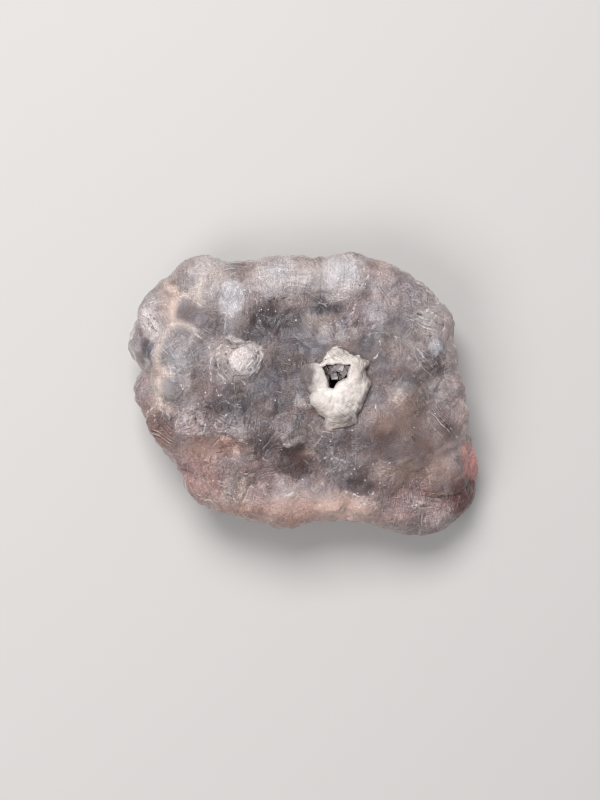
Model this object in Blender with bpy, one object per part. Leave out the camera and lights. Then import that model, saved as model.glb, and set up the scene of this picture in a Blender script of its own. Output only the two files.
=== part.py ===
"""A hand specimen of bicolor fluorite, lying on its broken back with the crystal side up.

Grey-blue to mauve crystal lumps are grown together into one plate. Near the middle, a
white crust rings the mouth of a small hollow, and dark crystals line the hollow.
Lengths below are in millimetres; the finished objects are in metres, with +Z up.
"""

import math
import random

import bmesh
import bpy
from mathutils import Euler, Matrix, Vector

MM = 0.001
GAP = 0.3  # clearance between two solids
SEED = 11

# The plate's outline, 75 mm wide and 60 mm high, clockwise from the bump at the upper left.
OUTLINE = [
    (-21.0, 30.0), (-19.0, 29.1), (-17.5, 27.9), (-14.3, 27.6), (-9.0, 28.2), (-6.2, 29.4),
    (-2.8, 29.4), (0.5, 28.7), (4.5, 29.0), (9.5, 30.0), (12.8, 29.6), (16.6, 28.2),
    (20.0, 26.4), (23.8, 24.0), (27.4, 21.4), (30.2, 18.6), (31.6, 16.0), (32.1, 12.0),
    (32.4, 8.0), (33.0, 4.0), (34.3, 0.0), (35.2, -5.0), (36.6, -11.3), (37.5, -15.0),
    (37.3, -18.8), (36.1, -23.1), (33.5, -26.3), (30.3, -28.7), (26.0, -30.0), (22.0, -30.0),
    (18.5, -28.8), (14.0, -27.3), (9.3, -26.2), (5.0, -26.1), (1.0, -26.9), (-4.8, -28.4),
    (-9.2, -26.6), (-11.6, -26.3), (-13.6, -24.9), (-17.2, -25.1), (-20.0, -23.7),
    (-22.8, -22.2), (-24.8, -19.5), (-25.8, -16.8), (-26.8, -13.8), (-29.3, -11.8),
    (-31.4, -9.6), (-33.0, -6.0), (-34.6, -3.0), (-36.1, 1.0), (-36.1, 3.2), (-33.5, 5.0),
    (-35.0, 6.7), (-36.9, 8.8), (-37.5, 10.9), (-36.3, 14.2), (-34.8, 15.3), (-35.4, 18.6),
    (-33.4, 20.7), (-30.8, 23.8), (-27.7, 26.8), (-25.2, 28.6),
]

# The crystal side swells from the rim to the middle as a low dome.
RIM_HEIGHT = 8.0
DOME_RISE = 14.1
DOME_HALF_WIDTH = 41.0
DOME_HALF_HEIGHT = 34.0
DOME_SQUARENESS = 2.6
DOME_FLATNESS = 0.6
CORE_DEPTH = 1.6  # depth of the massive core under the dome

# Troughs in the dome, as x, y, radius and depth.
TROUGHS = [(-8.5, 12.0, 6.5, 2.6), (1.0, 14.5, 6.0, 2.8), (-2.0, -13.6, 4.5, 2.2), (6.0, 12.5, 4.0, 0.8)]

# Grown lumps, as x, y, radius and how far the lump stands above the dome.
TOP_ROW = [
    (-21.6, 24.4, 5.8, 0.6), (-28.8, 20.0, 5.2, 0.2), (-13.8, 22.8, 5.4, 1.2),
    (-7.5, 23.4, 5.6, 1.8), (-2.0, 24.6, 4.8, 1.3), (2.8, 23.8, 4.6, 1.0),
    (8.8, 24.0, 6.2, 2.4), (16.4, 22.6, 5.8, 0.8), (22.4, 19.6, 5.8, 0.4), (26.6, 14.6, 5.4, 0.2),
]
LEFT_SIDE = [
    (-32.0, 16.2, 4.0, 0.6), (-33.1, 10.4, 4.6, -0.2), (-25.6, 8.6, 6.8, 1.9),
    (-31.6, 0.6, 4.6, -0.6), (-25.8, 3.4, 6.0, 1.2), (-20.4, 14.8, 5.0, -0.2),
    (-28.6, -6.0, 4.6, -0.2),
]
MIDDLE = [
    (-14.2, 6.0, 5.6, 1.7), (-12.6, 6.8, 3.6, 2.4), (-15.4, -0.6, 4.8, 0.7), (-8.4, 11.4, 5.0, 0.2),
    (-3.4, 6.4, 5.0, 0.1), (-7.8, -0.8, 5.2, 0.2), (0.4, 14.2, 5.0, 0.0),
    (4.4, 12.0, 3.4, 0.9), (9.8, 12.6, 4.8, 0.2), (16.2, 9.0, 5.0, 0.4),
    (15.6, 15.8, 5.0, 0.2), (21.6, 6.6, 5.2, 0.7), (27.0, 7.6, 5.0, 0.3),
    (29.0, 1.4, 4.8, 0.1), (19.8, -1.4, 5.2, 0.7), (-1.4, -1.2, 4.8, 0.2),
    (14.8, -6.4, 4.6, 0.3), (-13.6, 14.6, 4.6, 0.0),
]
LOWER_LEFT = [
    (-22.8, -5.4, 4.8, 0.8), (-16.0, -7.4, 4.6, 0.9), (-9.8, -7.8, 4.4, 0.4),
    (-24.6, -11.6, 4.6, 0.2), (-18.2, -13.2, 4.6, 0.5), (-20.6, -18.2, 4.8, 0.2),
    (-12.4, -14.6, 4.6, 0.2), (-3.4, -7.4, 4.8, 0.5), (-1.6, -14.2, 4.8, 0.1),
]
LOWER_EDGE = [
    (-15.0, -20.6, 5.0, 0.5), (-9.4, -21.6, 5.2, 0.7), (-3.4, -22.6, 5.8, 0.9),
    (4.4, -20.8, 5.8, 0.6), (12.0, -21.4, 5.4, 0.2), (10.4, -13.0, 5.6, 0.2),
    (16.4, -16.0, 5.0, 0.6), (21.0, -10.6, 5.8, 0.9), (27.2, -7.4, 5.6, 0.8),
    (30.6, -4.6, 4.4, 0.2), (28.6, -14.8, 6.0, 0.7), (20.2, -23.6, 6.0, 0.4),
    (26.4, -24.5, 5.8, 0.2), (31.4, -21.2, 5.6, -0.6), (33.4, -14.8, 4.2, -1.8),
    (5.6, -8.2, 4.4, 0.5),
]

# Smaller cubes of nearly the same lattice stand out of each lump.
CUBES_PER_RADIUS = 0.5
CUBE_SPREAD = 62.0  # degrees from the way the lump faces
CUBE_SHARE = (0.5, 0.8)  # edge of a cube over the radius of its lump
CUBE_SINK = 0.38  # depth of a cube's middle in the lump, over the cube's edge
CUBE_LEAN = 9.0  # degrees
LUMP_EDGE = 1.94  # edge of the lump's own chamfered cube over its radius
LUMP_CHAMFER = 0.29

# The back broke along a few cleavage planes: direction round the plate in degrees, distance
# from the middle where the plane leaves the flat back, and its slope in degrees.
CLEAVAGE = [
    (4, 21, 23), (48, 20, 29), (95, 17, 26), (140, 21, 31), (184, 20, 24),
    (232, 17, 29), (278, 15, 24), (322, 24, 27),
]

# The mouth of the hollow, clockwise from its upper left corner.
MOUTH = [
    (3.8, 5.8), (5.3, 6.7), (7.0, 6.9), (8.8, 6.6), (10.2, 6.7),
    (9.5, 3.6), (7.7, 2.8), (6.5, 0.9), (5.0, 1.2), (4.9, 2.8),
]
MOUTH_MIDDLE = (6.9, 4.1)
MOUTH_RADIUS = 3.0
# The hollow from above the crust down, as depth under the dome, share of the mouth, shift along y.
HOLLOW_LEVELS = [
    (-5.0, 1.0, 0.0), (0.6, 1.0, 0.0), (2.6, 1.04, -1.1), (5.0, 1.06, -2.4), (7.2, 0.95, -3.3),
    (9.2, 0.45, -3.6),
]
LINING_THICKNESS = 0.7
LINING_RIM_DEPTH = 1.5  # depth of the lining's rim under the dome, at the mouth's middle
LINING_RIM_SLOPE = 20.0  # degrees that this rim rises towards +y
LINING_CUBE = (1.0, 1.6)  # edges of the lining's crystals
LINING_CUBE_INSET = 0.4  # from the lining's inner wall to the middle of a crystal
# Larger crystals under the mouth, on the wall's upper side: x, y, depth under the dome and edge.
CLUSTER = [
    (4.6, 5.6, 2.0, 1.5), (6.2, 6.3, 1.9, 1.7), (7.9, 6.2, 1.8, 1.6), (9.3, 6.0, 1.7, 1.3),
    (5.5, 4.6, 2.5, 1.7), (7.1, 4.9, 2.6, 1.9), (8.7, 4.7, 2.4, 1.6), (6.5, 3.8, 2.7, 1.3),
    (8.0, 3.8, 2.6, 1.3),
]

# White crust, as it lies round the mouth: its outline, clockwise from the left lobe's lower end.
CRUST_OUTLINE = [
    (-0.2, 1.4), (-0.7, 3.8), (-0.4, 6.0), (1.9, 6.6), (3.4, 6.2), (4.5, 7.0), (5.2, 9.0),
    (6.6, 9.9), (8.5, 9.0), (10.3, 8.0), (11.2, 8.3), (12.7, 7.7), (13.7, 6.8), (12.9, 5.6),
    (13.0, 4.3), (14.1, 2.6), (13.7, 0.6), (13.1, -0.9), (12.2, -2.3), (11.3, -3.9), (11.5, -5.6),
    (9.7, -6.4), (7.6, -6.8), (6.0, -7.5), (4.8, -6.6), (4.9, -4.7), (3.4, -4.1), (2.8, -2.7),
    (1.6, -1.5), (1.5, -0.3), (2.0, 0.5),
]
CRUST_MIDDLE = (7.0, 1.2)
# Rings from the crust's edge inwards, as share of the outline and share of the full rise.
CRUST_RINGS = [(1.0, 0.1), (0.95, 0.62), (0.84, 0.95), (0.66, 1.0), (0.46, 1.0), (0.24, 1.0)]
# Swellings of the crust over the dome, as x, y, radius and rise.
CRUST_SWELLS = [
    (9.8, -0.4, 4.2, 1.5), (4.6, -1.6, 3.0, 1.0), (8.2, -4.6, 2.6, 0.7), (11.8, 4.6, 2.6, 0.9),
    (1.8, 3.9, 2.8, 0.8), (7.4, 8.4, 3.0, 0.4),
]
CRUST_BASE_RISE = 0.45
CRUST_UNEVENNESS = 0.22
CRUST_DEPTH = 1.5  # depth of the crust's flat underside under the dome


def clear_scene():
    for old in list(bpy.data.objects):
        bpy.data.objects.remove(old)


def new_collection(name):
    made = bpy.data.collections.new(name)
    bpy.context.scene.collection.children.link(made)
    return made


def new_material(name, colour, roughness, transmission=0.0, ior=1.45):
    """A plain material; the colour is linear red, green and blue."""
    made = bpy.data.materials.new(name)
    made.use_nodes = True
    surface = made.node_tree.nodes["Principled BSDF"]
    surface.inputs["Base Color"].default_value = (*colour, 1.0)
    surface.inputs["Roughness"].default_value = roughness
    surface.inputs["Metallic"].default_value = 0.0
    surface.inputs["Transmission Weight"].default_value = transmission
    surface.inputs["IOR"].default_value = ior
    return made


def add_object(name, shape, collection, helper=False):
    """Makes an object in metres from a shape in millimetres."""
    bmesh.ops.scale(shape, vec=(MM, MM, MM), verts=shape.verts)
    bmesh.ops.recalc_face_normals(shape, faces=shape.faces)
    mesh = bpy.data.meshes.new(name)
    shape.to_mesh(mesh)
    shape.free()
    made = bpy.data.objects.new(name, mesh)
    collection.objects.link(made)
    if helper:
        made.hide_render = True
        made.display_type = "WIRE"
    return made


def boolean(target, operation, other, self_overlap=False):
    step = target.modifiers.new(operation.title() + " " + other.name, "BOOLEAN")
    step.operation = operation
    step.object = other
    step.use_self = self_overlap


def islands(shape):
    """The separate skins of a shape, each as a list of faces."""
    waiting = set(shape.faces)
    while waiting:
        island = [waiting.pop()]
        for face in island:
            near = {other for edge in face.edges for other in edge.link_faces} & waiting
            waiting -= near
            island.extend(near)
        yield island


def apply_modifiers(made):
    """Applies the modifiers and fills the small pockets that are sealed inside the solid."""
    graph = bpy.context.evaluated_depsgraph_get()
    made.data = bpy.data.meshes.new_from_object(made.evaluated_get(graph))
    made.modifiers.clear()
    shape = bmesh.new()
    shape.from_mesh(made.data)
    skins = sorted(islands(shape), key=len)
    for pocket in skins[:-1]:
        bmesh.ops.delete(shape, geom=pocket, context="FACES")
    shape.to_mesh(made.data)
    shape.free()


def dome_height(x, y):
    """Height of the crystal side over the flat back."""
    across = abs(x / DOME_HALF_WIDTH) ** DOME_SQUARENESS
    along = abs(y / DOME_HALF_HEIGHT) ** DOME_SQUARENESS
    height = RIM_HEIGHT + DOME_RISE * max(1 - across - along, 0.0) ** DOME_FLATNESS
    for middle_x, middle_y, radius, depth in TROUGHS:
        away = math.hypot(x - middle_x, y - middle_y) / radius
        height -= depth * math.exp(-away * away)
    return height


def loft(rings):
    """A closed body through rings of points, all with the same count, from one end to the other."""
    shape = bmesh.new()
    loops = [[shape.verts.new(point) for point in ring] for ring in rings]
    for low, high in zip(loops, loops[1:]):
        for i in range(len(low)):
            shape.faces.new((low[i - 1], low[i], high[i], high[i - 1]))
    shape.faces.new(loops[0])
    shape.faces.new(loops[-1])
    bmesh.ops.triangulate(shape, faces=shape.faces[:])
    return shape


def massive_core():
    """The body under the lumps: the plate's outline, its top following the dome."""
    sides = [(-1, 0.9), (5, 0.99), (9, 0.985)]
    rings = [[(x * share, y * share, z) for x, y in OUTLINE] for z, share in sides]
    for share in (0.93, 0.8, 0.64, 0.46, 0.28, 0.1):
        inner = [(x * share, y * share) for x, y in OUTLINE]
        rings.append([(x, y, dome_height(x, y) - CORE_DEPTH) for x, y in inner])
    return loft(rings)


def plate_block(levels):
    """The plate's outline lofted upwards, each level a height and a share of the outline."""
    return loft([[(x * share, y * share, z) for x, y in OUTLINE] for z, share in levels])


def add_cube(shape, centre, edge, turn, chamfer=0.0):
    """Adds a cube, its edges and corners chamfered by a share of its edge."""
    cube = bmesh.new()
    bmesh.ops.create_cube(cube, size=edge)
    if chamfer:
        bmesh.ops.bevel(cube, geom=cube.edges[:], offset=edge * chamfer, segments=1, affect="EDGES")
    bmesh.ops.transform(cube, matrix=Matrix.Translation(centre) @ turn, verts=cube.verts)
    mesh = bpy.data.meshes.new("cube")
    cube.to_mesh(mesh)
    cube.free()
    shape.from_mesh(mesh)
    bpy.data.meshes.remove(mesh)


def random_turn(chance, most=180.0):
    angles = [math.radians(chance.uniform(-most, most)) for _ in range(3)]
    return Euler(angles).to_matrix().to_4x4()


def spread_directions(axis, spread, count, chance):
    """Directions spread evenly over a cap around the axis, from a random start."""
    golden_angle = math.pi * (3 - math.sqrt(5))
    start = chance.uniform(0, math.tau)
    turn = Vector((0, 0, 1)).rotation_difference(axis)
    for i in range(count):
        height = 1 - (1 - math.cos(math.radians(spread))) * (i + 0.5) / count
        ring = math.sqrt(1 - height * height)
        angle = start + i * golden_angle
        yield turn @ Vector((ring * math.cos(angle), ring * math.sin(angle), height))


def facing(x, y):
    """The way that the dome faces at a place: up in the middle, and outwards at the rim."""
    return Vector((1.3 * x / DOME_HALF_WIDTH, 1.3 * y / DOME_HALF_HEIGHT, 1.2)).normalized()


def add_lump(shape, x, y, radius, rise, chance):
    """A blunt crystal with smaller cubes of nearly its own lattice standing out of it."""
    centre = Vector((x, y, dome_height(x, y) + rise - radius))
    lattice = random_turn(chance)
    add_cube(shape, centre, LUMP_EDGE * radius, lattice, LUMP_CHAMFER)
    count = round(CUBES_PER_RADIUS * radius)
    for direction in spread_directions(facing(x, y), CUBE_SPREAD, count, chance):
        edge = radius * chance.uniform(*CUBE_SHARE)
        place = centre + direction * (radius - CUBE_SINK * edge)
        add_cube(shape, place, edge, lattice @ random_turn(chance, CUBE_LEAN))


def lumps(cutters):
    chance = random.Random(SEED)
    shape = bmesh.new()
    for lump in TOP_ROW + LEFT_SIDE + MIDDLE + LOWER_LEFT + LOWER_EDGE:
        add_lump(shape, *lump, chance)
    return add_object("grown_lumps", shape, cutters, helper=True)


def cleavage_blocks(cutters):
    """Blocks whose upper faces are the cleavage planes of the back."""
    shape = bmesh.new()
    size = Vector((90, 60, 30))
    for around, distance, slope in CLEAVAGE:
        turn = Matrix.Rotation(math.radians(around), 4, "Z")
        tilt = Matrix.Rotation(-math.radians(slope), 4, "Y")
        edge = Matrix.Translation((distance, 0, 0))
        below = Matrix.Translation((0, 0, -size.z / 2))
        block = turn @ edge @ tilt @ below @ Matrix.Diagonal((*size, 1))
        bmesh.ops.create_cube(shape, size=1, matrix=block)
    return add_object("cleavage_blocks", shape, cutters, helper=True)


def hollow_body(inset):
    """The space of the hollow, drawn in by inset, from its floor to well above the crust."""
    surface = dome_height(*MOUTH_MIDDLE)
    middle = Vector((*MOUTH_MIDDLE, 0))
    rings = []
    for depth, share, shift in HOLLOW_LEVELS:
        scale = share - inset / MOUTH_RADIUS
        corners = [middle + scale * (Vector((x, y, 0)) - middle) for x, y in MOUTH]
        rings.append([corner + Vector((0, shift, surface - depth)) for corner in corners])
    for corner in rings[-1]:
        corner.z += inset
    return loft(rings)


def crust_rise(x, y):
    """How far the crust stands over the dome away from its edge."""
    swells = [rise * math.exp(-math.hypot(x - mx, y - my) ** 2 / radius ** 2)
              for mx, my, radius, rise in CRUST_SWELLS]
    return CRUST_BASE_RISE + sum(swells)


def crust_body(name, collection, grow):
    """The crust with its uneven swollen top and flat underside, grown by a distance all round."""
    chance = random.Random(SEED + 2)
    middle = Vector(CRUST_MIDDLE)
    arms = [Vector(corner) - middle for corner in CRUST_OUTLINE]
    underside = dome_height(*MOUTH_MIDDLE) - CRUST_DEPTH - grow
    rings = [[(*(middle + arm * (1 + grow / arm.length)), underside) for arm in arms]]
    for share, height in CRUST_RINGS:
        ring = []
        for arm in arms:
            place = middle + arm * (share + grow / arm.length)
            uneven = chance.uniform(-CRUST_UNEVENNESS, CRUST_UNEVENNESS)
            top = dome_height(*place) + height * (crust_rise(*place) + uneven) + grow
            ring.append((*place, top))
        rings.append(ring)
    return add_object(name, loft(rings), collection, helper=grow > 0)


def make_fluorite(parts, cutters):
    made = add_object("fluorite", massive_core(), parts)
    boolean(made, "UNION", lumps(cutters), self_overlap=True)
    trim = plate_block([(0, 0.84), (5, 1.0), (16, 1.0), (30, 0.96)])
    block = add_object("trim_block", trim, cutters, helper=True)
    boolean(block, "DIFFERENCE", cleavage_blocks(cutters), self_overlap=True)
    boolean(made, "INTERSECT", block)
    boolean(made, "DIFFERENCE", crust_body("crust_socket", cutters, GAP))
    boolean(made, "DIFFERENCE", bpy.data.objects["hollow"])
    apply_modifiers(made)
    made.data.materials.append(new_material("fluorite_crystal", (0.27, 0.25, 0.29), 0.35, 0.5, 1.434))


def make_white_crust(parts, cutters):
    made = crust_body("white_crust", parts, 0.0)
    boolean(made, "DIFFERENCE", bpy.data.objects["hollow"])
    apply_modifiers(made)
    made.data.materials.append(new_material("white_crust", (0.72, 0.68, 0.64), 0.55))


def lining_crystals(chance):
    """Small cubes in rings round the wall of the hollow, and the cluster under its mouth."""
    rings = hollow_body(GAP + LINING_THICKNESS + LINING_CUBE_INSET)
    corners = [vertex.co.copy() for vertex in rings.verts]
    rings.free()
    shape = bmesh.new()
    for corner in corners[len(MOUTH)::2]:
        edge = chance.uniform(*LINING_CUBE)
        add_cube(shape, corner - Vector((0, 0, 0.7 * edge)), edge, random_turn(chance))
    for x, y, depth, edge in CLUSTER:
        place = Vector((x, y, dome_height(*MOUTH_MIDDLE) - depth))
        add_cube(shape, place, edge, random_turn(chance))
    return shape


def make_hollow_crystals(parts, cutters):
    """A thin shell just inside the hollow, open at the top, with small cubes on its inner side."""
    made = add_object("hollow_crystals", hollow_body(GAP), parts)
    space = add_object("lining_space", hollow_body(GAP + LINING_THICKNESS), cutters, helper=True)
    crystals = lining_crystals(random.Random(SEED + 1))
    cubes = add_object("lining_cubes", crystals, cutters, helper=True)
    boolean(space, "DIFFERENCE", cubes, self_overlap=True)
    boolean(made, "DIFFERENCE", space)
    size = 20
    rim = Vector((*MOUTH_MIDDLE, dome_height(*MOUTH_MIDDLE) - LINING_RIM_DEPTH))
    tilt = Matrix.Rotation(math.radians(LINING_RIM_SLOPE), 4, "X")
    lid = bmesh.new()
    add_cube(lid, rim + tilt @ Vector((0, 0, size / 2)), size, tilt)
    boolean(made, "DIFFERENCE", add_object("lining_lid", lid, cutters, helper=True))
    apply_modifiers(made)
    made.data.materials.append(new_material("smoky_crystal", (0.03, 0.028, 0.032), 0.15, 0.3, 1.434))


def main():
    clear_scene()
    parts = new_collection("bicolor_fluorite")
    cutters = new_collection("cutters")
    add_object("hollow", hollow_body(0.0), cutters, helper=True)
    make_fluorite(parts, cutters)
    make_white_crust(parts, cutters)
    make_hollow_crystals(parts, cutters)


main()
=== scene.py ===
import math
import random
from functools import partial

import bmesh
import bpy
import numpy as np
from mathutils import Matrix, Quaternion, Vector, noise
from mathutils.kdtree import KDTree


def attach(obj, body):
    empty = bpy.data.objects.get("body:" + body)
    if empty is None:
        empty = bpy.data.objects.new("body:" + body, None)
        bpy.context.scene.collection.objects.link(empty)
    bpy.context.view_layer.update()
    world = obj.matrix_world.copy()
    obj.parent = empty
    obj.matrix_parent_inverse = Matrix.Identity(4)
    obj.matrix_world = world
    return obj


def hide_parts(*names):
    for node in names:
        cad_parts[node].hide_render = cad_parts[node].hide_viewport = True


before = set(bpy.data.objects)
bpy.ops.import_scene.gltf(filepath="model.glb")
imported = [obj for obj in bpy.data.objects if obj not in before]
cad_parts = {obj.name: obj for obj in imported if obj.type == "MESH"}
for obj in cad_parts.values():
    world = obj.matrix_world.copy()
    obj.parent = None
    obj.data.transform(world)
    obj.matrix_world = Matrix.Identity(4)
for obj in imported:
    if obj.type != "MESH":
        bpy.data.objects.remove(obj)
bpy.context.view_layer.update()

# The view: the plate lies on its back, and a 60 mm lens looks straight down on it from about
# 28 cm above the crystals. The small sideways offset sets the plate a little right of and above
# the middle of the picture.
MM = 0.001
CAMERA_ASIDE = (-0.74, -1.04)  # mm
CAMERA_HEIGHT = 293  # above the table, mm

scene = bpy.context.scene
lens = bpy.data.cameras.new("portrait_lens")
lens.lens = 60
lens.sensor_width = 36
camera = bpy.data.objects.new("camera", lens)
camera.location = Vector((*CAMERA_ASIDE, CAMERA_HEIGHT)) * MM
scene.collection.objects.link(camera)
scene.camera = camera
scene.view_settings.view_transform = "Standard"
scene.cycles.use_denoising = True
scene.cycles.filter_width = 1.0  # as crisp as a good portrait lens

# The studio: a table in pale matt card, lit by a large softbox over the plate's upper edge, a
# weaker one from the lower left, and the pale walls of the room.
CARD_COLOUR = "#C9C6C4"
WALL_COLOUR = "#E8E9EC"
WALL_LIGHT = 0.31
SOFTBOXES = [  # name, place and side in metres, watts
    ("upper_softbox", (-0.12, 0.38, 0.62), 0.36, 5.0),
    ("lower_softbox", (-0.36, -0.30, 0.58), 0.40, 2.2),
]


def linear(hex_colour):
    """The linear red, green, blue and alpha of an sRGB hex colour."""
    parts = [int(hex_colour[i:i + 2], 16) / 255 for i in (1, 3, 5)]
    return [p / 12.92 if p <= 0.04045 else ((p + 0.055) / 1.055) ** 2.4 for p in parts] + [1.0]


def feed(node, feeds):
    """Feeds a node's inputs, in their order or by name: a value, or the node or output behind it."""
    for key, value in feeds.items() if isinstance(feeds, dict) else enumerate(feeds):
        sockets = [s for s in node.inputs if s.enabled]
        socket = sockets[key] if isinstance(key, int) else next(s for s in sockets if s.name == key)
        if isinstance(value, bpy.types.Node):
            value = next(s for s in value.outputs if s.enabled)
        if isinstance(value, bpy.types.NodeSocket):
            node.id_data.links.new(value, socket)
        else:
            socket.default_value = value


bpy.ops.mesh.primitive_plane_add(size=4)
floor = bpy.context.object
floor.name = "table"
card = bpy.data.materials.new("pale_matt_card")  # uncoated card: nearly no gloss
card.use_nodes = True
feed(card.node_tree.nodes["Principled BSDF"], {"Base Color": linear(CARD_COLOUR), "Roughness": 0.9})
floor.data.materials.append(card)

room = bpy.data.worlds.new("pale_room")
room.use_nodes = True
feed(room.node_tree.nodes["Background"], {"Color": linear(WALL_COLOUR), "Strength": WALL_LIGHT})
scene.world = room

for name, place, side, watts in SOFTBOXES:
    light = bpy.data.lights.new(name, "AREA")
    light.size = side
    light.energy = watts
    lamp = bpy.data.objects.new(name, light)
    lamp.location = place
    lamp.rotation_euler = (-Vector(place)).to_track_quat("-Z", "Y").to_euler()
    scene.collection.objects.link(lamp)

# The grown mass: fluorite lumps that grew into each other, each built of many small cubes in
# nearly one lattice. The surface is natural growth, etched to a frosted skin, on clear crystal
# that holds grey-blue and mauve bands.
GRAIN = 0.39  # fine mesh spacing, mm
SOFTENING = 24  # smoothing passes over the solid's edges
CUBE_SPACING = 2.6  # between the middles of neighbouring small cubes, mm
CUBE_HALF = (1.3, 2.8)  # half of a small cube's edge, mm
CUBE_SINK = (0.75, 0.3)  # middle and spread of how deep a cube sits, in half edges
CUBE_SHOWS = 0.24  # how much of the small cubes' shape shows
CUBE_LIMITS = (-0.5, 1.0)  # the lowest and highest that a cube's face is taken to be, mm
LATTICE_SPACING = 5.5  # size of the part in which the cubes lie nearly alike, mm
LEAN = 14  # how far a cube leans from that lattice, degrees
SEED_CHOICES = 20000  # about how many points of the mesh may be the middle of a cube
LUMP_PASSES = 220  # averaging that leaves only the forms wider than about 8 mm
FLATTENING = 0.65  # share by which growth has evened out the lumps on the crystal side
CALM_FLATTENING = 0.95  # the same where the face is calm
SIDE_FLATTENING = 0.7  # the same on the plate's sides
CHIP = 2.2  # size of the small broken cubes on the plate's sides, mm
CHIP_DEPTH = 1.1  # how far they stand out, mm
NOISE_SEED = 11  # without one, every run would draw the growth another way
FAR = 9.0  # stands for any distance too far to matter, mm
LIST_DISTANCE = 283.3  # from the camera to the height at which the lists below are measured, mm


def copy_of(node, name):
    """A copy of a solid, to be worked on."""
    piece = bpy.data.objects.new(name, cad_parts[node].data.copy())
    scene.collection.objects.link(piece)
    return piece


def settle(piece):
    """Gives a piece the mesh that its modifiers make."""
    graph = bpy.context.evaluated_depsgraph_get()
    mesh = bpy.data.meshes.new_from_object(piece.evaluated_get(graph))
    piece.modifiers.clear()
    piece.data = mesh
    mesh.materials.clear()


def fine_copy(node, name, spacing, softening):
    """An even, fine mesh over a solid, its edges softened a little."""
    piece = copy_of(node, name)
    remesh = piece.modifiers.new("Remesh", "REMESH")
    remesh.mode = "VOXEL"
    remesh.voxel_size = spacing * MM
    smooth = piece.modifiers.new("Smooth", "SMOOTH")
    smooth.iterations = softening
    settle(piece)
    return piece


def read(piece, what):
    """The places or normals of a piece's points as rows."""
    values = np.empty(len(piece.data.vertices) * 3)
    piece.data.vertices.foreach_get(what, values)
    return values.reshape(-1, 3)


def write_places(piece, points):
    """Moves a piece's points to these places, in mm."""
    piece.data.vertices.foreach_set("co", (points * MM).ravel())
    piece.data.update()


def keep(piece, name, values):
    """Stores a number for every point, for the material to read."""
    field = piece.data.attributes.new(name, "FLOAT", "POINT")
    field.data.foreach_set("value", values.astype(np.float32))


def averaged(piece, values, passes):
    """Each point's values after many passes of averaging with its neighbours."""
    ends = np.empty(len(piece.data.edges) * 2, dtype=np.int64)
    piece.data.edges.foreach_get("vertices", ends)
    a, b = ends.reshape(-1, 2).T
    count = len(values)
    share = np.bincount(a, minlength=count) + np.bincount(b, minlength=count)
    rows = values.reshape(count, -1).copy()
    for _ in range(passes):
        for k in range(rows.shape[1]):
            column = rows[:, k]
            total = np.bincount(a, column[b], count) + np.bincount(b, column[a], count)
            rows[:, k] = 0.5 * column + 0.5 * total / share
    return rows.reshape(values.shape)


def spread_seeds(points, spacing, chance):
    """Rows picked at random, at least this far apart."""
    order = list(range(len(points)))
    chance.shuffle(order)
    cells = np.floor(points / spacing).astype(int)
    taken = {}
    for i in order:
        x, y, z = cells[i]
        near = [
            points[j]
            for a in (-1, 0, 1) for b in (-1, 0, 1) for c in (-1, 0, 1)
            for j in taken.get((x + a, y + b, z + c), [])
        ]
        if not near or np.linalg.norm(np.array(near) - points[i], axis=1).min() >= spacing:
            taken.setdefault((x, y, z), []).append(i)
    return sorted(i for group in taken.values() for i in group)


def nearest(seeds, points, count):
    """For every point, the rows of the nearest seeds."""
    tree = KDTree(len(seeds))
    for i, place in enumerate(seeds):
        tree.insert(place, i)
    tree.balance()
    return np.array([[hit[1] for hit in tree.find_n(point, count)] for point in points])


def random_turn(chance):
    """A turn that is as likely to be any other."""
    return Quaternion([chance.gauss(0, 1) for _ in range(4)]).normalized()


def cube_mosaic(piece, chance):
    """Lifts the surface onto small cubes that stick out of it, each part in its own lattice."""
    points = read(piece, "co") / MM
    normals = averaged(piece, read(piece, "normal"), 12)
    normals /= np.linalg.norm(normals, axis=1)[:, None]
    rows = np.arange(0, len(points), max(1, len(points) // SEED_CHOICES))
    seeds = rows[spread_seeds(points[rows], CUBE_SPACING, chance)]
    parts = rows[spread_seeds(points[rows], LATTICE_SPACING, chance)]
    turns = [random_turn(chance) for _ in parts]
    part = nearest(points[parts], points[seeds], 1)[:, 0]
    turn, half, middle = [], [], []
    for row, home in zip(seeds, part):
        axis = Vector([chance.gauss(0, 1) for _ in range(3)]).normalized()
        tilt = Quaternion(axis, math.radians(chance.gauss(0, LEAN)))
        turn.append(np.array((tilt @ turns[home]).to_matrix()))
        half.append(chance.uniform(*CUBE_HALF))
        depth = half[-1] * chance.gauss(*CUBE_SINK)
        middle.append(points[row] - normals[row] * depth)
    turn, half, middle = np.array(turn), np.array(half), np.array(middle)
    tones = np.array([[chance.uniform(-1, 1) for _ in range(3)] for _ in seeds])
    near = nearest(points[seeds], points, 6)
    best = np.full(len(points), -FAR)
    tone = np.zeros(len(points))
    for cube in near.T:
        place = np.einsum("nji,nj->ni", turn[cube], points - middle[cube])
        way = np.einsum("nji,nj->ni", turn[cube], normals)
        way = np.where(np.abs(way) < 0.02, 0.02, way)  # so that nothing is divided by zero
        leave = (np.sign(way) * half[cube][:, None] - place) / way
        enter = (-np.sign(way) * half[cube][:, None] - place) / way
        height = np.where(enter.max(axis=1) < leave.min(axis=1), leave.min(axis=1), -FAR)
        win = height > best
        tone = np.where(win, tones[cube, leave.argmin(axis=1)], tone)
        best = np.where(win, height, best)
    points += normals * (CUBE_SHOWS * np.clip(best, *CUBE_LIMITS))[:, None]
    write_places(piece, averaged(piece, points, 2))
    keep(piece, "tone", averaged(piece, tone, 1))


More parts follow.
